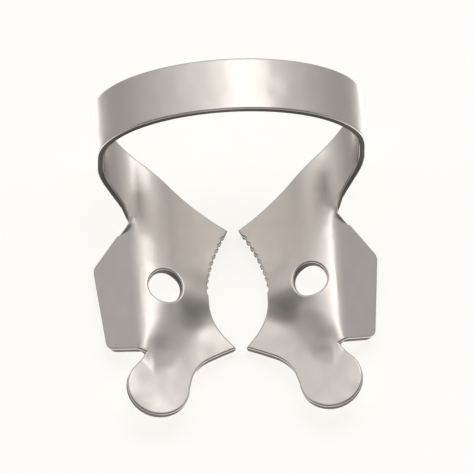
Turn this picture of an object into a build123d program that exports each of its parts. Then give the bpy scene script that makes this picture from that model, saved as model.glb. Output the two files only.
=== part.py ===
import math
import os

from build123d import *

# A winged rubber dam clamp: one piece of spring steel sheet, stamped and bent.
# X runs from jaw to jaw, Y from the tongues to the bow, Z up.
# The origin is under the middle of the clamp, on the surface that it rests on.
# The right jaw and half bow are modelled, and the left side mirrors them.

# Sheet
jaw_sheet = 0.72
bow_sheet = 0.62

# Bow
bow_reach = 8.02
bow_width = 4.25
bow_half_span = 10.15
bow_rise = 7.05
bow_side = 1.05

# Beaks, seen from above
beak_gap = 0.90
beak_span = 9.87
bite_depth = 1.85
bite_setback = 5.73
tooth_radius = 0.13
tooth_count = 9

# Jaw plate: a gentle slope from the beaks, a hollow bend that steepens it, the shoulder's
# broad bend over the crest, and the tight bend into the wing
beak_slope = 14.0
dish_start = 2.20
plate_slope = 29.0
shoulder_start = 5.00
crest_x = 7.00
crest_width = 0.25
wing_bend_radius = 0.75

# Wing
wing_reach = 10.72
wing_corner = 0.8

# Forceps hole
hole_diameter = 2.65
hole_x = 5.50
hole_setback = 5.25

# Crease between plate and flap, and the two slopes of the flap
crease_start = (2.31, -5.95)
crease_end = (7.28, -10.45)
flap_start = (1.79, -8.00)
flap_end = (7.72, -11.34)
flap_side_slope = 14.0
flap_rise = 1.0

# Tongue
tongue_radius = 2.33
tongue_centre_x = 6.50
tongue_setback = 13.50

# Outlines seen from above. Each pair is the distance out from the middle of the clamp
# and the distance back from the rear beak tips, negative where it lies in front of them.
bite_points = [(1.40, -2.08), (2.18, -4.64)]
front_beak_point = (1.34, -8.81)
tongue_root_points = [(1.75, -10.54), (2.95, -11.24)]
wing_points = [(7.70, -10.45), (9.95, -9.67), (wing_reach, -2.75), (7.85, 0.21)]
plate_rear_points = [(6.50, 0.60), (6.30, 5.20), (4.05, 2.63), (2.33, 1.28)]

# Edges of the arm, which are cut square to its middle. The rear edge starts on the plate
# (distance out, share of the bow's reach) and goes on round the arm's bend (angle from the
# crest at 0 to the upright side at 90, share of the bow's reach). The front edge takes the
# same angles and distances back from the rear beak tips.
arm_slope = 30.0
rear_root_shares = [(4.05, 0.328), (5.10, 0.448), (6.07, 0.561)]
rear_turn_shares = [(0, 0.671), (26, 0.813), (39, 0.870), (57, 0.938), (76, 0.980), (90, 0.991)]
front_turns = [(7, -1.00), (17, 0.21), (26, 1.40), (35, 1.98), (50, 2.66), (71, 3.22), (90, 3.46)]

# Front edge of the bow's side: distance back from the tips, height over its widest part
side_front_points = [(3.60, 0), (3.70, 0.8)]

# How far cutting shapes run past the sheet, and how deep the web is seated in it
spare = 1.0
seat = 0.15
web_relief = 0.04
web_steps = 6

# Values worked out from those above
overall_length = bow_reach + tongue_setback + tongue_radius
tip_x = beak_gap / 2
tip_y = overall_length / 2 - bow_reach
bow_rear_y = overall_length / 2
bow_front_y = bow_rear_y - bow_width
tongue_y = tongue_radius - overall_length / 2
bow_mid_half_span = bow_half_span - bow_sheet / 2
bow_mid_rise = bow_rise - bow_sheet / 2
half_turn = math.sin(math.radians(45))

# Centres of the plate's hollow bend and of the shoulder's bend
beak_angle = math.radians(beak_slope)
plate_angle = math.radians(plate_slope)
middle_angle = (beak_angle + plate_angle) / 2
tip_z = jaw_sheet / 2 / math.cos(beak_angle)
dish_start_z = tip_z + math.tan(beak_angle) * (dish_start - tip_x)
dish_radius = (shoulder_start - dish_start) / (math.sin(plate_angle) - math.sin(beak_angle))
dish_x = dish_start - dish_radius * math.sin(beak_angle)
dish_z = dish_start_z + dish_radius * math.cos(beak_angle)
shoulder_start_z = dish_z - dish_radius * math.cos(plate_angle)
shoulder_radius = (crest_x - shoulder_start) / math.sin(plate_angle)
crest_z = shoulder_start_z + shoulder_radius * (1 - math.cos(plate_angle))
dish_middle = (
    dish_x + dish_radius * math.sin(middle_angle),
    dish_z - dish_radius * math.cos(middle_angle),
)
shoulder_middle = (
    crest_x - shoulder_radius * math.sin(plate_angle / 2),
    crest_z - shoulder_radius * (1 - math.cos(plate_angle / 2)),
)

# The arm climbs from the crest on a hollow bend and a short straight side.
arm_radius = bow_mid_half_span - crest_x
arm_top_z = crest_z + arm_radius
wide_z = arm_top_z + bow_side
bow_top_z = wide_z + bow_rise
arm_angle = math.radians(arm_slope)
arm_plane = Plane(
    origin=(0, 0, 0),
    x_dir=(math.cos(arm_angle), 0, math.sin(arm_angle)),
    z_dir=(-math.sin(arm_angle), 0, math.cos(arm_angle)),
)
wide_reach = bow_mid_half_span * math.cos(arm_angle) + wide_z * math.sin(arm_angle)
wide_depth = wide_z * math.cos(arm_angle) - bow_mid_half_span * math.sin(arm_angle)

# The shoulder ends in a tight bend, and the wing runs straight down from it until its
# lower edge meets the table.
wing_start = crest_x + crest_width
wing_lean = math.asin(crest_width / shoulder_radius)
wing_start_z = crest_z - shoulder_radius * (1 - math.cos(wing_lean))
bend_x = wing_start - wing_bend_radius * math.sin(wing_lean)
bend_z = wing_start_z - wing_bend_radius * math.cos(wing_lean)
wing_sweep = math.hypot(wing_reach - bend_x, bend_z)
wing_slope = math.asin((wing_bend_radius - jaw_sheet / 2) / wing_sweep)
wing_slope += math.atan2(bend_z, wing_reach - bend_x)
wing_middle = (wing_lean + wing_slope) / 2
bend_middle_point = (
    bend_x + wing_bend_radius * math.sin(wing_middle),
    bend_z + wing_bend_radius * math.cos(wing_middle),
)
bend_end_x = bend_x + wing_bend_radius * math.sin(wing_slope)
bend_end_z = bend_z + wing_bend_radius * math.cos(wing_slope)
wing_past_x = wing_reach + spare
wing_past_z = bend_end_z - (wing_past_x - bend_end_x) * math.tan(wing_slope)

# The forceps hole is punched square to the shoulder.
hole_lean = math.asin((crest_x - hole_x) / shoulder_radius)
hole_plane = Plane(
    origin=(
        hole_x,
        tip_y - hole_setback,
        crest_z - shoulder_radius * (1 - math.cos(hole_lean)),
    ),
    x_dir=(math.cos(hole_lean), 0, math.sin(hole_lean)),
    z_dir=(-math.sin(hole_lean), 0, math.cos(hole_lean)),
)

# The flap is flat, and the front beak tip at its corner stands on the table.
flap_across = math.tan(math.radians(flap_side_slope))
flap_along = -math.tan(math.radians(flap_rise))
flap_normal = Vector(-flap_across, -flap_along, 1).normalized()
flap_tip = Vector(tip_x, tip_y - beak_span, jaw_sheet / 2 / flap_normal.Z)


def from_tips(points):
    """Points in the frame of the clamp, from their distances to the rear beak tips."""
    return [(x, tip_y + back) for x, back in points]


def shoulder_height(x, y):
    """Middle of the sheet over the plate, the shoulder and the bend of the wing."""
    if x < dish_start:
        return tip_z + math.tan(beak_angle) * (x - tip_x)
    if x < shoulder_start:
        return dish_z - math.sqrt(dish_radius**2 - (x - dish_x) ** 2)
    if x < wing_start:
        return crest_z - shoulder_radius + math.sqrt(shoulder_radius**2 - (x - crest_x) ** 2)
    return bend_z + math.sqrt(wing_bend_radius**2 - (x - bend_x) ** 2)


def flap_height(x, y):
    """Middle of the sheet of the flap."""
    return flap_tip.Z + flap_across * (x - flap_tip.X) + flap_along * (y - flap_tip.Y)


def seen_square(x, z, back):
    """A point on the middle of the sheet as it appears in the plane square to the arm."""
    return (x * math.cos(arm_angle) + z * math.sin(arm_angle), tip_y + back)


def arm_points(turns):
    """Points on the arm's bend, from their angles and distances to the rear beak tips."""
    points = []
    for degrees, back in turns:
        x = crest_x + arm_radius * math.sin(math.radians(degrees))
        z = arm_top_z - arm_radius * math.cos(math.radians(degrees))
        points.append(seen_square(x, z, back))
    return points


# The jaw: plate, shoulder and wing in one bent section, cut to its outline from above
with BuildPart() as jaw:
    with BuildSketch(Plane.XZ.offset(-bow_rear_y)):
        with BuildLine():
            Line(
                (tip_x - spare, tip_z - spare * math.tan(beak_angle)),
                (dish_start, dish_start_z),
            )
            ThreePointArc(
                (dish_start, dish_start_z),
                dish_middle,
                (shoulder_start, shoulder_start_z),
            )
            ThreePointArc(
                (shoulder_start, shoulder_start_z),
                (crest_x, crest_z),
                (wing_start, wing_start_z),
            )
            ThreePointArc(
                (wing_start, wing_start_z),
                bend_middle_point,
                (bend_end_x, bend_end_z),
            )
            Line((bend_end_x, bend_end_z), (wing_past_x, wing_past_z))
        trace(line_width=jaw_sheet)
    extrude(amount=overall_length)
    with BuildSketch(Plane.XY.offset(-spare)):
        with BuildLine():
            bite = Spline(
                (tip_x, tip_y),
                *from_tips(bite_points),
                (tip_x + bite_depth, tip_y - bite_setback),
            )
            Polyline(
                (tip_x + bite_depth, tip_y - bite_setback),
                *from_tips([crease_start, crease_end]),
                *from_tips(wing_points),
                *from_tips(plate_rear_points),
                (tip_x, tip_y),
            )
        wing_outline = make_face()
        fillet(wing_outline.vertices().sort_by(Axis.X)[-2:], radius=wing_corner)
    extrude(amount=bow_top_z, mode=Mode.INTERSECT)
    with BuildSketch(Plane.XY.offset(-spare)):
        with Locations(*[bite @ (step / (tooth_count + 1)) for step in range(1, tooth_count + 1)]):
            Circle(tooth_radius)
    extrude(amount=bow_top_z, mode=Mode.SUBTRACT)
    with BuildSketch(hole_plane):
        Circle(hole_diameter / 2)
    extrude(amount=2 * jaw_sheet, both=True, mode=Mode.SUBTRACT)

# The flap: flat sheet, cut to the front beak and the round tongue
with BuildPart() as flap:
    with BuildSketch(Plane(origin=flap_tip - flap_normal * jaw_sheet / 2, z_dir=flap_normal)):
        Rectangle(2 * overall_length, 2 * overall_length)
    extrude(amount=jaw_sheet)
    with BuildSketch(Plane.XY.offset(-spare)):
        with BuildLine():
            Spline(
                *from_tips([flap_start, front_beak_point]),
                (tip_x, tip_y - beak_span),
            )
            Spline(
                (tip_x, tip_y - beak_span),
                *from_tips(tongue_root_points),
                (tongue_centre_x - tongue_radius, tongue_y),
                tangents=[(2, -1), (0, -1)],
            )
            ThreePointArc(
                (tongue_centre_x - tongue_radius, tongue_y),
                (tongue_centre_x, tongue_y - tongue_radius),
                (tongue_centre_x + tongue_radius, tongue_y),
            )
            Polyline(
                (tongue_centre_x + tongue_radius, tongue_y),
                *from_tips([flap_end, flap_start]),
            )
        make_face()
    extrude(amount=bow_top_z, mode=Mode.INTERSECT)

# The arm and half bow: one bent section, cut behind and in front of the arm
with BuildPart() as bow:
    with BuildSketch(Plane.XZ.offset(-bow_rear_y)):
        with BuildLine():
            ThreePointArc((shoulder_start, shoulder_start_z), shoulder_middle, (crest_x, crest_z))
            ThreePointArc(
                (crest_x, crest_z),
                (crest_x + arm_radius * half_turn, arm_top_z - arm_radius * half_turn),
                (bow_mid_half_span, arm_top_z),
            )
            Line((bow_mid_half_span, arm_top_z), (bow_mid_half_span, wide_z))
            EllipticalCenterArc((0, wide_z), bow_mid_half_span, bow_mid_rise, arc_size=90)
        trace(line_width=bow_sheet)
    extrude(amount=bow_reach)
    with BuildSketch(arm_plane.offset(wide_depth + bow_sheet)):
        with BuildLine():
            front_edge = Spline(
                *arm_points(front_turns),
                (wide_reach, tip_y + side_front_points[0][0]),
            )
            Polyline(
                front_edge @ 1,
                (wide_reach + spare, tip_y + side_front_points[0][0]),
                (wide_reach + spare, (front_edge @ 0).Y),
                front_edge @ 0,
            )
        make_face()
    extrude(amount=-bow_half_span, mode=Mode.SUBTRACT)
    with BuildSketch(Plane.YZ):
        with BuildLine():
            Spline(
                *[(tip_y + back, wide_z + height) for back, height in side_front_points],
                (bow_front_y, bow_top_z + spare),
                tangents=[(0, 1), (0, 1)],
            )
            Polyline(
                (bow_front_y, bow_top_z + spare),
                (tip_y - spare, bow_top_z + spare),
                (tip_y - spare, wide_z),
                (tip_y + side_front_points[0][0], wide_z),
            )
        make_face()
    extrude(amount=bow_half_span + spare, mode=Mode.SUBTRACT)


def web_section(start, end, shift, height):
    """Plane and outline points of the web where it is seated in the plate or the flap."""
    start, end = [Vector(x, y, 0) for x, y in from_tips([start, end])]
    along = (end - start).normalized()
    outward = along.cross(Vector(0, 0, 1))
    plane = Plane(origin=start + outward * shift, x_dir=along, z_dir=outward)
    points = []
    for step in range(web_steps + 1):
        reach = web_relief + ((end - start).length - 2 * web_relief) * step / web_steps
        spot = plane.origin + along * reach
        points.append((reach, height(spot.X, spot.Y)))
    return plane, points


# The web: the bent strip that joins the plate to the flap across the crease
web_half_height = (jaw_sheet - web_relief) / 2 / flap_normal.Z
with BuildPart() as web:
    for plane, points in (
        web_section(crease_start, crease_end, -seat, shoulder_height),
        web_section(flap_start, flap_end, seat, flap_height),
    ):
        with BuildSketch(plane):
            with BuildLine():
                upper = Spline(*[(reach, height + web_half_height) for reach, height in points])
                lower = Spline(*[(reach, height - web_half_height) for reach, height in points])
                Line(upper @ 0, lower @ 0)
                Line(upper @ 1, lower @ 1)
            make_face()
    loft(ruled=True)

with BuildPart() as clamp:
    add(jaw.part)
    add(flap.part)
    add(web.part)
    add(bow.part)
    with BuildSketch(arm_plane.offset(wide_depth + bow_sheet)):
        with BuildLine():
            rear_edge = Spline(
                *[
                    seen_square(x, shoulder_height(x, 0), share * bow_reach)
                    for x, share in rear_root_shares
                ],
                *arm_points([(angle, share * bow_reach) for angle, share in rear_turn_shares]),
                (wide_reach, bow_rear_y + seat),
            )
            Polyline(
                rear_edge @ 1,
                (wide_reach, bow_rear_y + spare),
                ((rear_edge @ 0).X, bow_rear_y + spare),
                rear_edge @ 0,
            )
        make_face()
    extrude(amount=-bow_half_span, mode=Mode.SUBTRACT)
    mirror(about=Plane.YZ)

clamp.part.label = "clamp"
os.makedirs("parts", exist_ok=True)
export_step(clamp.part, "parts/clamp.step")
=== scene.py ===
import math

import bpy
import numpy as np
from mathutils import Matrix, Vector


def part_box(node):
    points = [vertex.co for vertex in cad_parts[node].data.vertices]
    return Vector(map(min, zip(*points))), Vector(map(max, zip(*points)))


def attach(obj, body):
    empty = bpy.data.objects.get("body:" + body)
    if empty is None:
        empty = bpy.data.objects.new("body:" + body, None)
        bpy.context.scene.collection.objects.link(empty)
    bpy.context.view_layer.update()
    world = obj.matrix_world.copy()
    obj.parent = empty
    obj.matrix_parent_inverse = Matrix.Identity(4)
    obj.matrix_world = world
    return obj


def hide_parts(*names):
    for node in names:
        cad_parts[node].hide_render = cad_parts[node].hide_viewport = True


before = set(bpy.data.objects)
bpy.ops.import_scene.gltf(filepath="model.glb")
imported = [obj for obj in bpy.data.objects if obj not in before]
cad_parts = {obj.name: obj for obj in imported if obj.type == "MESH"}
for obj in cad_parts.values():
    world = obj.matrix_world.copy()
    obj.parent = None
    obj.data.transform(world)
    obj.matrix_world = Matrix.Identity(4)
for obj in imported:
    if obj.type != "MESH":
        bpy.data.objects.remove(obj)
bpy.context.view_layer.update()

# The clamp: one strip of stainless spring steel, stamped to its outline and bent cold.
# A strip runs from one tongue over its jaw and up the arm, round the bow and down again,
# so it is one grid of rows across that strip, with a forceps hole let into each jaw.

mm = 0.001
low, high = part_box("clamp")

jaw_sheet = 0.72
bow_sheet = 0.62
edge_radius = 0.12

# Sizes in millimetres. Heights are those of the middle of the sheet. Plan points are the
# distance out from the middle of the clamp and the distance back from the rear beak tips.
bow_reach = 8.02
bow_width = 4.25
bow_half_span = 10.15
bow_side = 1.05
beak_gap = 0.90
beak_span = 9.87
beak_slope = math.radians(14)
dish_start = 2.20
plate_slope = math.radians(29)
shoulder_start = 5.00
crest_x = 7.00
wing_start = 7.25
wing_bend_radius = 0.75
wing_reach = 10.58
wing_corner = 0.8

tip_x = beak_gap / 2
tip_y = high.y / mm - bow_reach
tip_z = jaw_sheet / 2 / math.cos(beak_slope)
dish_radius = (shoulder_start - dish_start) / (math.sin(plate_slope) - math.sin(beak_slope))
dish_x = dish_start - dish_radius * math.sin(beak_slope)
dish_z = tip_z + math.tan(beak_slope) * (dish_start - tip_x) + dish_radius * math.cos(beak_slope)
shoulder_radius = (crest_x - shoulder_start) / math.sin(plate_slope)
crest_z = dish_z - (dish_radius + shoulder_radius) * math.cos(plate_slope) + shoulder_radius
bow_mid_half_span = bow_half_span - bow_sheet / 2
arm_radius = bow_mid_half_span - crest_x
arm_top_z = crest_z + arm_radius
wide_z = arm_top_z + bow_side
bow_mid_rise = high.z / mm - bow_sheet / 2 - wide_z

wing_lean = math.asin((wing_start - crest_x) / shoulder_radius)
wing_start_z = crest_z - shoulder_radius * (1 - math.cos(wing_lean))
bend_x = wing_start - wing_bend_radius * math.sin(wing_lean)
bend_z = wing_start_z - wing_bend_radius * math.cos(wing_lean)
wing_slope = math.asin(
    (wing_bend_radius - jaw_sheet / 2) / math.hypot(wing_reach - bend_x, bend_z)
) + math.atan2(bend_z, wing_reach - bend_x)
bend_end_x = bend_x + wing_bend_radius * math.sin(wing_slope)
bend_end_z = bend_z + wing_bend_radius * math.cos(wing_slope)


def ease(t):
    """Smooth step from 0 to 1: three t squared less two t cubed, held outside 0 to 1."""
    t = np.clip(t, 0, 1)
    return t * t * (3 - 2 * t)


def mix(a, b, t):
    """The value that lies the share t of the way from a to b."""
    return a + (b - a) * t


def arc_height(x, centre_x, centre_z, radius):
    """Height on a circle at x: the centre's height plus the root of radius squared less
    the distance from the centre squared. A negative radius takes the lower half."""
    return centre_z + math.copysign(1, radius) * np.sqrt(
        np.clip(radius**2 - (x - centre_x) ** 2, 0, None)
    )


def wing_height(x):
    """Plate, shoulder and wing: a gentle slope from the beak tips, a hollow arc that steepens
    it, a broad arc over the crest, a tight arc and a straight fall to the table."""
    beak = tip_z + math.tan(beak_slope) * (x - tip_x)
    dish = arc_height(x, dish_x, dish_z, -dish_radius)
    shoulder = arc_height(x, crest_x, crest_z - shoulder_radius, shoulder_radius)
    bend = arc_height(x, bend_x, bend_z, wing_bend_radius)
    wing = bend_end_z - (x - bend_end_x) * math.tan(wing_slope)
    return np.select(
        [x < dish_start, x < shoulder_start, x < wing_start, x < bend_end_x],
        [beak, dish, shoulder, bend],
        wing,
    )


def arm_height(x):
    """Plate, shoulder and arm: the same as far as the crest, then a hollow arc that climbs."""
    return np.where(x < crest_x, wing_height(x), arc_height(x, crest_x, arm_top_z, -arm_radius))


# The flap with the front beak and the tongue lies lower than the plate, and the tongue's end is
# struck level. The crease between plate and flap runs outwards and forwards: at each distance
# out it starts and ends at the distances back that stand below it.
crease_x = (1.8, 5.6, 6.8, 7.7)
crease_start = (-5.56, -7.60, -8.40, -10.30)
crease_end = (-8.00, -12.20, -12.80, -11.35)
# Behind the crease the bite swells up, and in front of it the flap is hollow. Each swell has
# its rise, its plan point and its reach outwards and backwards.
swells = (
    (0.37, (3.6, -5.3), (1.9, 1.7)),
    (-0.20, (3.8, -8.7), (2.0, 1.8)),
)
flap_across = math.tan(math.radians(14))
flap_along = -math.tan(math.radians(1))
flap_tip_z = jaw_sheet / 2 * math.sqrt(1 + flap_across**2 + flap_along**2)
level_x = 6.4
level_back = -13.8
level_bend = 0.05
notch_width = 1.35


def middle_height(x, back):
    """Height of the middle of the sheet in a jaw. The wing's section turns into the arm's
    over a short way at the notch. Across the crease both ease down to the flap, a sloping
    plane whose far end is levelled by a share of the distance squared. A swell adds its rise
    times e to the power of minus the squared distances over its reaches."""
    over = mix(wing_height(x), arm_height(x), ease(0.5 + back / notch_width))
    outward = math.sqrt(0.5) * (x - level_x) - math.sqrt(0.5) * (back - level_back)
    flap = flap_tip_z + flap_across * (x - tip_x) + flap_along * (back + beak_span)
    flap = flap - level_bend * np.clip(outward, 0, None) ** 2
    first = np.interp(x, crease_x, crease_start)
    last = np.interp(x, crease_x, crease_end)
    height = mix(over, flap, ease((first - back) / (first - last)))
    for rise, (x0, back0), (wide, long) in swells:
        height = height + rise * np.exp(-(((x - x0) / wide) ** 2) - ((back - back0) / long) ** 2)
    return height


def curve_through(points, per_span=24):
    """A smooth path through points: on each span a cubic leaves one point and reaches the
    next along the line that joins that point's neighbours."""
    p = np.array(points, float)
    ends = np.vstack([2 * p[:1] - p[1:2], p, 2 * p[-1:] - p[-2:-1]])
    t = np.linspace(0, 1, per_span, endpoint=False)[None, :, None]
    a, b, c, d = (ends[k : len(p) - 1 + k, None, :] for k in range(4))
    spans = 0.5 * (
        2 * b + (c - a) * t + (2 * a - 5 * b + 4 * c - d) * t**2 + (3 * b - a - 3 * c + d) * t**3
    )
    return np.vstack([spans.reshape(-1, 2), p[-1:]])


def rounded_path(corners, radii, per_turn=14):
    """Straight runs between corners, each corner turned on an arc of its own radius that
    touches both runs."""
    p = np.array(corners, float)
    parts = [p[:1]]
    for before, corner, after, radius in zip(p, p[1:], p[2:], radii):
        a = (before - corner) / np.linalg.norm(before - corner)
        b = (after - corner) / np.linalg.norm(after - corner)
        half = math.acos(np.clip(a @ b, -1, 1)) / 2
        middle = (a + b) / np.linalg.norm(a + b)
        centre = corner + middle * radius / math.sin(half)
        start = corner + a * radius / math.tan(half) - centre
        side = np.array([-start[1], start[0]]) * np.sign(a[1] * b[0] - a[0] * b[1])
        turn = np.linspace(0, math.pi - 2 * half, per_turn)[:, None]
        parts.append(centre + start * np.cos(turn) + side * np.sin(turn))
    parts.append(p[-1:])
    return np.vstack(parts)


def walk(path, shares):
    """The points at the given shares of a path's length."""
    length = np.concatenate([[0], np.cumsum(np.linalg.norm(np.diff(path, axis=0), axis=1))])
    return np.stack([np.interp(shares * length[-1], length, path[:, k]) for k in (0, 1)], axis=1)


def circle_part(centre, radius, first, last, count=40):
    """Points on a circle from one angle to another, in degrees from straight outwards."""
    angle = np.radians(np.linspace(first, last, count))
    return np.stack(
        [centre[0] + radius * np.cos(angle), centre[1] + radius * np.sin(angle)], axis=1
    )


# Outline of a jaw, in plan points. The tongue ends in part of a circle, whose angles are in
# degrees from straight outwards.
tongue_radius = 2.33
tongue_centre = (6.50, -(tip_y - low.y / mm - tongue_radius))
tongue_root_inside = -178
tongue_end_inside = -106
tongue_end_outside = -16
tongue_root_outside = 38
tongue_neck_radius = 0.3
wing_root_radius = 0.35
rear_tip = (tip_x, 0.0)
front_tip = (tip_x, -beak_span)
bite_middle = (2.30, -5.73)
front_notch = (7.30, -10.72)
rear_notch = (7.85, 0.21)
plate_end = (3.20, 1.93)
arm_foot_x = 8.25
arm_foot_rear = 6.52
arm_foot_front = 1.40

tongue_end = circle_part(tongue_centre, tongue_radius, tongue_end_inside, tongue_end_outside)
tongue_inside = np.vstack(
    [
        circle_part(tongue_centre, tongue_radius, tongue_end_inside, tongue_root_inside),
        curve_through([(4.17, -13.60), (3.74, -12.25), (2.95, -11.28), (1.75, -10.54), front_tip]),
    ]
)
tongue_side = circle_part(tongue_centre, tongue_radius, tongue_end_outside, tongue_root_outside)
tongue_neck = [tongue_side[-1], (7.45, -11.05), front_notch]
tongue_outside = np.vstack([tongue_side, rounded_path(tongue_neck, [tongue_neck_radius])])
bite_front = curve_through([front_tip, (1.34, -8.81), (1.95, -7.71), (2.24, -6.70), bite_middle])
bite_rear = curve_through([bite_middle, (2.18, -4.64), (1.85, -3.23), (1.40, -2.08), rear_tip])
wing_edge = rounded_path(
    [front_notch, (7.70, -10.45), (9.95, -9.67), (wing_reach, -2.75), rear_notch],
    [wing_root_radius, wing_corner, wing_corner],
)
plate_rear = curve_through([rear_tip, (1.40, 0.60), (2.33, 1.28), plate_end])
arm_rear = curve_through(
    [plate_end, (4.05, 2.63), (5.10, 3.59), (6.07, 4.50), (6.87, 5.26), (arm_foot_x, arm_foot_rear)]
)
arm_front = curve_through([rear_notch, (8.02, 0.78), (arm_foot_x, arm_foot_front)])

# Rows of the jaw: each row runs from the inner outline to the outer one. A group of rows has
# its inner path, its outer path, the stretch of the outer path that it takes, and its count.
bite_middle_share = 0.22
rear_tip_share = 0.68
arm_rows = 44
row_groups = [
    (tongue_inside, tongue_outside, 0, 1, 64),
    (bite_front, wing_edge, 0, bite_middle_share, 56),
    (bite_rear, wing_edge, bite_middle_share, rear_tip_share, 150),
    (plate_rear, wing_edge, rear_tip_share, 1, 40),
    (arm_rear, arm_front, 0, 1, arm_rows),
]
inner = np.vstack(
    [walk(a, np.linspace(0, 1, n, endpoint=False)) for a, b, first, last, n in row_groups]
    + [arm_rear[-1:]]
)
outer = np.vstack(
    [walk(b, np.linspace(first, last, n, endpoint=False)) for a, b, first, last, n in row_groups]
    + [arm_front[-1:]]
)
jaw_rows = len(inner)
column_count = 46
rim_steps = edge_radius * np.array([0, 0.08, 0.25, 0.5, 0.8, 1.25, 2.0])
even_steps = np.linspace(0, 1, column_count - 2 * len(rim_steps) + 2)[None, 1:-1]
least_slant = 0.4


def row_shares(a, b):
    """Where the columns fall on each row, as shares of it: close steps within the rounded
    edge at both ends, wider where the row meets its outline at a slant, and even between."""
    length = np.linalg.norm(b - a, axis=1)[:, None]
    across = (b - a) / length
    shares = []
    for path in (a, b):
        tangent = np.gradient(path, axis=0)
        tangent /= np.maximum(np.linalg.norm(tangent, axis=1), 1e-9)[:, None]
        slant = np.abs(across[:, 0] * tangent[:, 1] - across[:, 1] * tangent[:, 0])
        shares.append(rim_steps / np.maximum(slant, least_slant)[:, None] / length)
    middle = mix(shares[0][:, -1:], 1 - shares[1][:, -1:], even_steps)
    return np.hstack([shares[0], middle, 1 - shares[1][:, ::-1]])


shares = row_shares(inner, outer)
plan = mix(inner[:, None], outer[:, None], shares[..., None])

# The first row lies on the tongue's round end, and the rows after it turn straight by degrees.
turning_rows = 26
fade = ease(np.arange(turning_rows) / turning_rows)[:, None, None]
end_row = walk(tongue_end, shares[0])
plan[:turning_rows] = plan[:turning_rows] + (end_row - plan[0])[None] * (1 - fade)

# Teeth are filed into the rear part of each bite, as hollows at an even pitch.
tooth_pitch = 0.60
tooth_depth = 0.15
tooth_count = 9
tooth_reach = 0.7
tooth_fullness = 0.7


def file_teeth(plan, first, last):
    """Moves the points of the bite's rows into the jaw, by the depth times a row of half
    waves, each raised to a power below one, which makes it fuller. The row starts one pitch
    from the rear beak tip, and points move less the further in they lie."""
    bite = plan[first : last + 1, 0]
    gap = np.linalg.norm(np.diff(bite, axis=0), axis=1)
    left = gap.sum() - np.concatenate([[0], np.cumsum(gap)])
    tangent = np.gradient(bite, axis=0)
    tangent /= np.linalg.norm(tangent, axis=1)[:, None]
    inward = np.stack([tangent[:, 1], -tangent[:, 0]], axis=1)
    wave = np.abs(np.sin(np.pi * left / tooth_pitch)) ** tooth_fullness
    cut = tooth_depth * wave * ((left > tooth_pitch) & (left < (tooth_count + 1) * tooth_pitch))
    from_bite = np.linalg.norm(plan[first : last + 1] - bite[:, None], axis=2)
    fade = 1 - ease(from_bite / tooth_reach)
    plan[first : last + 1] += inward[:, None] * (cut[:, None] * fade)[..., None]


group_ends = np.cumsum([group[-1] for group in row_groups])
file_teeth(plan, group_ends[1], group_ends[2])

jaw_middle = np.stack(
    [plan[..., 0], tip_y + plan[..., 1], middle_height(plan[..., 0], plan[..., 1])], axis=-1
)


def jaw_normal(x, back):
    """Upward normal of the sheet in a jaw, from the height's slope over a small step."""
    step = 0.01
    across = (middle_height(x + step, back) - middle_height(x - step, back)) / (2 * step)
    along = (middle_height(x, back + step) - middle_height(x, back - step)) / (2 * step)
    normal = np.stack([-across, -along, np.ones_like(x)], axis=-1)
    return normal / np.linalg.norm(normal, axis=-1, keepdims=True)


# The arm and half bow: rows follow one bent profile, a hollow arc and a quarter ellipse,
# and each runs from the rear edge to the front edge.
bow_rows = 120
arc_steps = 60
ellipse_steps = 240
foot_angle = math.asin((arm_foot_x - crest_x) / arm_radius)
arc_angle = np.linspace(foot_angle, math.pi / 2, arc_steps)
ellipse_angle = np.linspace(0, math.pi / 2, ellipse_steps)[1:]
profile = np.vstack(
    [
        np.stack(
            [crest_x + arm_radius * np.sin(arc_angle), arm_top_z - arm_radius * np.cos(arc_angle)],
            axis=1,
        ),
        np.stack(
            [
                bow_mid_half_span * np.cos(ellipse_angle),
                wide_z + bow_mid_rise * np.sin(ellipse_angle),
            ],
            axis=1,
        ),
    ]
)
profile = walk(profile, np.linspace(0, 1, bow_rows + 1))[1:]

# Both edges of the arm swing back as it climbs: each point is a height and a distance back.
foot_z = float(arm_height(arm_foot_x))
rear_line = curve_through(
    [(foot_z, arm_foot_rear), (3.05, 6.98), (3.70, 7.52), (4.60, 7.86), (5.80, 7.99)]
    + [(7.20, bow_reach)]
)
front_line = curve_through(
    [(foot_z, arm_foot_front), (2.95, 1.98), (3.45, 2.66), (4.36, 3.22), (5.30, 3.46)]
    + [(6.30, 3.60), (7.60, 3.75), (8.60, bow_reach - bow_width)]
)
bow_rear = np.interp(profile[:, 1], rear_line[:, 0], rear_line[:, 1])
bow_front = np.interp(profile[:, 1], front_line[:, 0], front_line[:, 1])
rim = rim_steps[None] / (bow_rear - bow_front)[:, None]
bow_shares = np.hstack([rim, mix(rim[:, -1:], 1 - rim[:, -1:], even_steps), 1 - rim[:, ::-1]])
bow_middle = np.stack(
    [
        np.broadcast_to(profile[:, :1], bow_shares.shape),
        tip_y + mix(bow_rear[:, None], bow_front[:, None], bow_shares),
        np.broadcast_to(profile[:, 1:], bow_shares.shape),
    ],
    axis=-1,
)
turn = np.gradient(profile, axis=0)
level_at_top = (-1, 0)
turn[-1] = level_at_top
bow_normal = np.stack([-turn[:, 1], np.zeros(bow_rows), turn[:, 0]], axis=-1)
bow_normal /= np.linalg.norm(bow_normal, axis=-1, keepdims=True)

# The forceps holes: rings of points fill the space between each hole and a block of the
# grid that is left out round it.
hole_radius = 1.325
hole_x = 5.50
hole_back = -5.25
hole_margin = 0.75
hole_lean = math.asin((crest_x - hole_x) / shoulder_radius)
ring_even = 7

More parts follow.
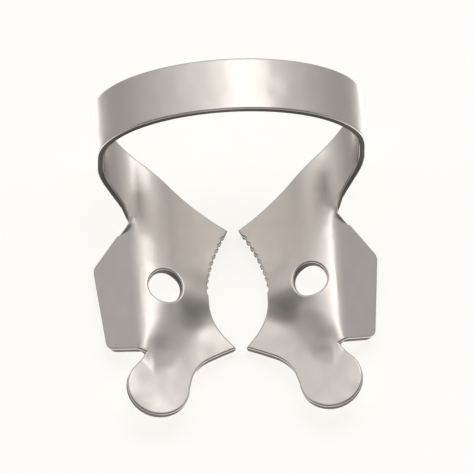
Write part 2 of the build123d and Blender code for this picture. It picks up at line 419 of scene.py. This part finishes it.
from_hole = np.hypot(plan[..., 0] - hole_x, plan[..., 1] - hole_back)
near = from_hole < hole_radius + hole_margin
block_rows = np.flatnonzero(near.any(axis=1))
block_columns = np.flatnonzero(near.any(axis=0))
r0, r1 = block_rows[0], block_rows[-1]
c0, c1 = block_columns[0], block_columns[-1]
block_r = np.concatenate(
    [np.full(c1 - c0, r0), np.arange(r0, r1), np.full(c1 - c0, r1), np.arange(r1, r0, -1)]
)
block_c = np.concatenate(
    [np.arange(c0, c1), np.full(r1 - r0, c1), np.arange(c1, c0, -1), np.full(r1 - r0, c0)]
)
block_edge = plan[block_r, block_c]
spread = block_edge - (hole_x, hole_back)
bearing = np.arctan2(spread[:, 1], spread[:, 0])
hole_edge = np.stack(
    [
        hole_x + hole_radius * math.cos(hole_lean) * np.cos(bearing),
        hole_back + hole_radius * np.sin(bearing),
    ],
    axis=1,
)
reach = np.linalg.norm(block_edge - hole_edge, axis=1)[:, None]
ring_shares = np.hstack(
    [
        rim_steps[None] / reach,
        mix(rim_steps[-1] / reach, 1, np.linspace(0, 1, ring_even + 1)[None, 1:-1]),
    ]
)
ring_plan = mix(hole_edge[:, None], block_edge[:, None], ring_shares[..., None])
ring_middle = np.stack(
    [
        ring_plan[..., 0],
        tip_y + ring_plan[..., 1],
        middle_height(ring_plan[..., 0], ring_plan[..., 1]),
    ],
    axis=-1,
)

# The sheet eases from the jaw's thickness to the bow's along the arm. Its edges are rounded by
# tumbling: near any edge it thins on a quarter circle.
thinning_rows = 60
end_rows = 10
half_middle = np.vstack([jaw_middle, bow_middle])
half_normal = np.vstack(
    [
        jaw_normal(plan[..., 0], plan[..., 1]),
        np.broadcast_to(bow_normal[:, None], bow_middle.shape),
    ]
)
half_rows = len(half_middle)
thinning = ease((np.arange(half_rows) - (jaw_rows - arm_rows)) / thinning_rows)
half_sheet = mix(jaw_sheet, bow_sheet, thinning)[:, None] * np.ones(column_count)


def edge_distance(points, edge, parts=24):
    """Shortest distance from points to a path, each of whose straight pieces is measured
    from the nearest point on it. The points are taken in parts, to spare memory."""
    start, run = edge[:-1], np.diff(edge, axis=0)
    square = np.maximum((run**2).sum(axis=1), 1e-12)
    nearest = np.full(len(points), np.inf)
    for part in np.array_split(np.arange(len(points)), parts):
        away = points[part, None] - start[None]
        t = np.clip((away * run[None]).sum(axis=2) / square, 0, 1)
        gap = np.linalg.norm(away - t[..., None] * run[None], axis=2)
        nearest[part] = gap.min(axis=1)
    return nearest


def rounded_half(sheet, distance):
    """Half thickness of the sheet at a distance from its edge: full inside, and less by a
    quarter circle of the edge radius towards the edge."""
    inside = 1 - np.clip(distance / edge_radius, 0, 1)
    return sheet / 2 - edge_radius * (1 - np.sqrt(1 - inside**2))


outline = np.vstack([half_middle[::-1, 0], half_middle[0, 1:-1], half_middle[:, -1]])
rim_zone = np.zeros((half_rows, column_count), bool)
rim_zone[:, : len(rim_steps)] = True
rim_zone[:, -len(rim_steps) :] = True
rim_zone[:end_rows] = True
distance = np.full((half_rows, column_count), edge_radius)
distance[rim_zone] = edge_distance(half_middle[rim_zone], outline)
half_height = rounded_half(half_sheet, distance)
ring_distance = np.broadcast_to(ring_shares * reach, ring_shares.shape)
ring_height = rounded_half(jaw_sheet, ring_distance)

# Both halves meet at the top of the bow, and every point has its twin in the left half.
mirror = np.array([-1.0, 1, 1])
strip_middle = np.vstack([half_middle, half_middle[-2::-1] * mirror])
strip_normal = np.vstack([half_normal, half_normal[-2::-1] * mirror])
strip_half = np.vstack([half_height, half_height[-2::-1]])
strip_rows = len(strip_middle)
strip_count = strip_rows * column_count
ring_points, ring_levels = ring_shares.shape
ring_count = ring_points * ring_levels
ring_normal = jaw_normal(ring_plan[..., 0], ring_plan[..., 1])

middle = np.vstack(
    [
        strip_middle.reshape(-1, 3),
        ring_middle.reshape(-1, 3),
        (ring_middle * mirror).reshape(-1, 3),
    ]
)
normal = np.vstack(
    [
        strip_normal.reshape(-1, 3),
        ring_normal.reshape(-1, 3),
        (ring_normal * mirror).reshape(-1, 3),
    ]
)
half = np.concatenate([strip_half.ravel(), ring_height.ravel(), ring_height.ravel()])[:, None]


def grid_faces(numbers):
    """Faces of a grid of point numbers: each takes a point and its neighbours round."""
    corners = [numbers[:-1, :-1], numbers[:-1, 1:], numbers[1:, 1:], numbers[1:, :-1]]
    return np.stack(corners, axis=-1)


strip_numbers = np.arange(strip_count).reshape(strip_rows, column_count)
strip_faces = grid_faces(strip_numbers)
kept = np.ones(strip_faces.shape[:2], bool)
kept[r0:r1, c0:c1] = False
kept[strip_rows - 1 - r1 : strip_rows - 1 - r0, c0:c1] = False
right_ring = np.hstack(
    [
        strip_count + np.arange(ring_count).reshape(ring_points, ring_levels),
        strip_numbers[block_r, block_c][:, None],
    ]
)
left_ring = np.hstack(
    [
        right_ring[:, :-1] + ring_count,
        strip_numbers[strip_rows - 1 - block_r, block_c][:, None],
    ]
)
right_ring = np.vstack([right_ring, right_ring[:1]])
left_ring = np.vstack([left_ring, left_ring[:1]])
upper = np.vstack(
    [
        strip_faces[kept],
        grid_faces(right_ring).reshape(-1, 4),
        grid_faces(left_ring)[..., ::-1].reshape(-1, 4),
    ]
)
edge_loop = np.concatenate(
    [
        strip_numbers[0, :-1],
        strip_numbers[:-1, -1],
        strip_numbers[-1, :0:-1],
        strip_numbers[:0:-1, 0],
    ]
)
edge_loop = np.append(edge_loop, edge_loop[0])
point_count = len(middle)


def wall_faces(loop):
    """Faces that close the edge between the upper and the lower skin along a loop."""
    a, b = loop[:-1], loop[1:]
    return np.stack([a, a + point_count, b + point_count, b], axis=-1)


faces = np.vstack(
    [
        upper,
        upper[:, ::-1] + point_count,
        wall_faces(edge_loop),
        wall_faces(right_ring[::-1, 0]),
        wall_faces(left_ring[:, 0]),
    ]
)
points = np.vstack([middle + normal * half, middle - normal * half]) * mm
used, faces = np.unique(faces, return_inverse=True)
faces = faces.reshape(-1, 4)

clamp_mesh = bpy.data.meshes.new("clamp_sheet")
clamp_mesh.from_pydata(points[used].tolist(), [], faces.tolist())
clamp_mesh.polygons.foreach_set("use_smooth", np.ones(len(faces), bool))
clamp_mesh.update()
clamp = bpy.data.objects.new("clamp_sheet", clamp_mesh)
bpy.context.scene.collection.objects.link(clamp)
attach(clamp, "root")
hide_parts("clamp")


def linear(hex_colour):
    """The linear value of an sRGB hex colour: a channel of up to 0.04045 is divided by 12.92,
    and a brighter one gains 0.055, is divided by 1.055 and raised to the power of 2.4."""
    channels = [int(hex_colour[k : k + 2], 16) / 255 for k in (1, 3, 5)]
    return [c / 12.92 if c <= 0.04045 else ((c + 0.055) / 1.055) ** 2.4 for c in channels] + [1]


def add_node(tree, kind, links=None, **settings):
    """Adds a node, sets its properties and input values, and links sockets into it."""
    node = tree.nodes.new(kind)
    for name, value in settings.items():
        if hasattr(node, name):
            setattr(node, name, value)
        else:
            node.inputs[name.replace("_", " ")].default_value = value
    for name, source in (links or {}).items():
        tree.links.new(source, node.inputs[name])
    return node


# Stainless spring steel, tumbled in fine media after bending: a satin grey with a warm cast,
# soft reflections, a fine grain, and the faint waves that bending by hand leaves. The grain is
# drawn coarser than real, so that it shows.
grain_size = 0.12
grain_depth = 0.02
wave_size = 2.4
wave_depth = 0.09

steel = bpy.data.materials.new("tumbled_stainless_steel")
steel.use_nodes = True
tree = steel.node_tree
shader = tree.nodes["Principled BSDF"]
shader.inputs["Base Color"].default_value = linear("#cdc7c1")
shader.inputs["Metallic"].default_value = 1
shader.inputs["Roughness"].default_value = 0.32
place = add_node(tree, "ShaderNodeTexCoord")
waves = add_node(
    tree,
    "ShaderNodeTexNoise",
    {"Vector": place.outputs["Object"]},
    Scale=1 / (wave_size * mm),
    Detail=1,
)
uneven = add_node(
    tree,
    "ShaderNodeBump",
    {"Height": waves.outputs["Fac"]},
    Strength=1,
    Distance=wave_depth * mm,
)
grain = add_node(
    tree,
    "ShaderNodeTexNoise",
    {"Vector": place.outputs["Object"]},
    Scale=1 / (grain_size * mm),
    Detail=2,
)
bump = add_node(
    tree,
    "ShaderNodeBump",
    {"Height": grain.outputs["Fac"], "Normal": uneven.outputs["Normal"]},
    Strength=0.12,
    Distance=grain_depth * mm,
)
tree.links.new(bump.outputs["Normal"], shader.inputs["Normal"])
clamp_mesh.materials.append(steel)

# The cut edges keep the rougher face that the punch left, a little torn all along. Their colour is
# darker, partly for the duller sheared steel and partly as painted shade for the dark reflections
# along the edges. The tears are drawn coarser than real, so that they show.
torn_size = 0.18
torn_depth = 0.03
edge_steel = bpy.data.materials.new("sheared_steel_with_painted_shade")
edge_steel.use_nodes = True
edge_tree = edge_steel.node_tree
edge_shader = edge_tree.nodes["Principled BSDF"]
# Darker base colour: the duller sheared face plus painted shade along the cut edges.
edge_shader.inputs["Base Color"].default_value = linear("#6e6862")
edge_shader.inputs["Metallic"].default_value = 1
edge_shader.inputs["Roughness"].default_value = 0.65
edge_place = add_node(edge_tree, "ShaderNodeTexCoord")
torn = add_node(
    edge_tree,
    "ShaderNodeTexNoise",
    {"Vector": edge_place.outputs["Object"]},
    Scale=1 / (torn_size * mm),
    Detail=2,
)
edge_bump = add_node(
    edge_tree,
    "ShaderNodeBump",
    {"Height": torn.outputs["Fac"]},
    Strength=0.3,
    Distance=torn_depth * mm,
)
edge_tree.links.new(edge_bump.outputs["Normal"], edge_shader.inputs["Normal"])
clamp_mesh.materials.append(edge_steel)
on_edge = np.arange(len(faces)) >= 2 * len(upper)
clamp_mesh.polygons.foreach_set("material_index", on_edge.astype(int))

# The floor: a plain white table top, far wider than the clamp, which rests on it. It glows a
# little, so that it stays white under the soft light, and the steel mirrors the tent instead.
floor_half = 8000
floor_mesh = bpy.data.meshes.new("floor")
floor_corners = np.array([[-1, -1, 0], [1, -1, 0], [1, 1, 0], [-1, 1, 0]]) * floor_half * mm
floor_mesh.from_pydata(floor_corners.tolist(), [], [(0, 1, 2, 3)])
floor = bpy.data.objects.new("floor", floor_mesh)
bpy.context.scene.collection.objects.link(floor)
white = bpy.data.materials.new("white_table_top")
white.use_nodes = True
white_shader = white.node_tree.nodes["Principled BSDF"]
white_shader.inputs["Base Color"].default_value = linear("#9c9b99")
white_shader.inputs["Roughness"].default_value = 0.7
white_shader.inputs["Specular IOR Level"].default_value = 0.2
white_shader.inputs["Emission Color"].default_value = linear("#fffefa")
white_shader.inputs["Emission Strength"].default_value = 0.8
floor_mesh.materials.append(white)
floor.visible_glossy = False

# Studio light: a pale tent, bright overhead, dim at the horizon and brightest from below, as a
# white table sends light back. Each stop is the height of a direction, from -1 straight down
# to 1 straight up, and how bright the tent is there.
tent_stops = [
    (-1.0, 1.3),
    (-0.88, 1.7),
    (-0.75, 2.25),
    (-0.64, 1.5),
    (-0.5, 0.7),
    (-0.4, 0.55),
    (0.0, 0.49),
    (0.2, 0.53),
    (0.5, 0.68),
    (0.75, 0.97),
    (0.92, 1.44),
]
tent_peak = 2.4
world = bpy.data.worlds.new("studio")
bpy.context.scene.world = world
world.use_nodes = True
room = world.node_tree
sky = room.nodes["Background"]
direction = add_node(room, "ShaderNodeTexCoord")
aim = add_node(room, "ShaderNodeSeparateXYZ", {"Vector": direction.outputs["Generated"]})
height = add_node(room, "ShaderNodeMapRange", {"Value": aim.outputs["Z"]}, From_Min=-1)

# Two dark cloths hang high in front, one on each side, and the creases mirror them. A direction
# is compared with the middle of a cloth once its sideways part has lost its sign: the tent is
# at its darkest where their dot product passes cloth_middle, and clear below cloth_edge.
cloth_towards = (0.5, -0.35, 0.79)
cloth_edge = 0.71
cloth_middle = 0.9
cloth_share = 0.14
either_side = add_node(room, "ShaderNodeMath", {"Value": aim.outputs["X"]}, operation="ABSOLUTE")
folded = add_node(
    room,
    "ShaderNodeCombineXYZ",
    {
        "X": either_side.outputs["Value"],
        "Y": aim.outputs["Y"],
        "Z": aim.outputs["Z"],
    },
)
facing = add_node(
    room, "ShaderNodeVectorMath", {"Vector": folded.outputs["Vector"]}, operation="DOT_PRODUCT"
)
facing.inputs[1].default_value = cloth_towards
cloths = add_node(
    room,
    "ShaderNodeMapRange",
    {"Value": facing.outputs["Value"]},
    interpolation_type="SMOOTHSTEP",
    From_Min=cloth_edge,
    From_Max=cloth_middle,
    To_Min=tent_peak,
    To_Max=cloth_share * tent_peak,
)
room.links.new(cloths.outputs["Result"], sky.inputs["Strength"])
tent = add_node(room, "ShaderNodeValToRGB", {"Fac": height.outputs["Result"]})
while len(tent.color_ramp.elements) < len(tent_stops):
    tent.color_ramp.elements.new(0.5)
for stop, (level, glow) in zip(tent.color_ramp.elements, tent_stops):
    stop.position = (level + 1) / 2
    stop.color = (glow / tent_peak,) * 3 + (1,)
room.links.new(tent.outputs["Color"], sky.inputs["Color"])


# A soft box, square, hangs above and behind the clamp and faces it.
box_towards = (0.20, 0.45, 0.87)
box_distance = 500
box_size = 200
box_power = 0.16
lamp = bpy.data.lights.new("overhead", "AREA")
lamp.shape = "SQUARE"
lamp.size = box_size * mm
lamp.energy = box_power
soft_box = bpy.data.objects.new("overhead", lamp)
away = np.array(box_towards) / np.linalg.norm(box_towards)
side = np.cross((0, 1, 0), away)
side /= np.linalg.norm(side)
box_pose = np.eye(4)
box_pose[:3, 0] = side
box_pose[:3, 1] = np.cross(away, side)
box_pose[:3, 2] = away
box_pose[:3, 3] = away * box_distance * mm
soft_box.matrix_world = Matrix(box_pose.tolist())
bpy.context.scene.collection.objects.link(soft_box)

# Camera: a long lens that looks down at the front of the clamp from a little to the left,
# slightly turned about its own axis, and far enough away to be almost free of perspective.
camera_azimuth = math.radians(-6)
camera_elevation = math.radians(63)
camera_roll = math.radians(-2.6)
picture_pixels = 474
mm_per_pixel = 0.075
camera_lens = 1200
sensor_width = 36
camera_distance = camera_lens * picture_pixels * mm_per_pixel / sensor_width
camera_target = np.array([0.10, 1.68, 4.0])

camera_data = bpy.data.cameras.new("camera")
camera_data.lens = camera_lens
camera_data.sensor_width = sensor_width
back = np.array(
    [
        math.sin(camera_azimuth) * math.cos(camera_elevation),
        -math.cos(camera_azimuth) * math.cos(camera_elevation),
        math.sin(camera_elevation),
    ]
)
level_right = np.array([math.cos(camera_azimuth), math.sin(camera_azimuth), 0])
level_up = np.cross(back, level_right)
right = math.cos(camera_roll) * level_right - math.sin(camera_roll) * level_up
up = math.sin(camera_roll) * level_right + math.cos(camera_roll) * level_up
camera_pose = np.eye(4)
camera_pose[:3, 0] = right
camera_pose[:3, 1] = up
camera_pose[:3, 2] = back
camera_pose[:3, 3] = (camera_target + back * camera_distance) * mm
camera = bpy.data.objects.new("camera", camera_data)
camera.matrix_world = Matrix(camera_pose.tolist())
bpy.context.scene.collection.objects.link(camera)
bpy.context.scene.camera = camera
bpy.context.scene.view_settings.view_transform = "Standard"
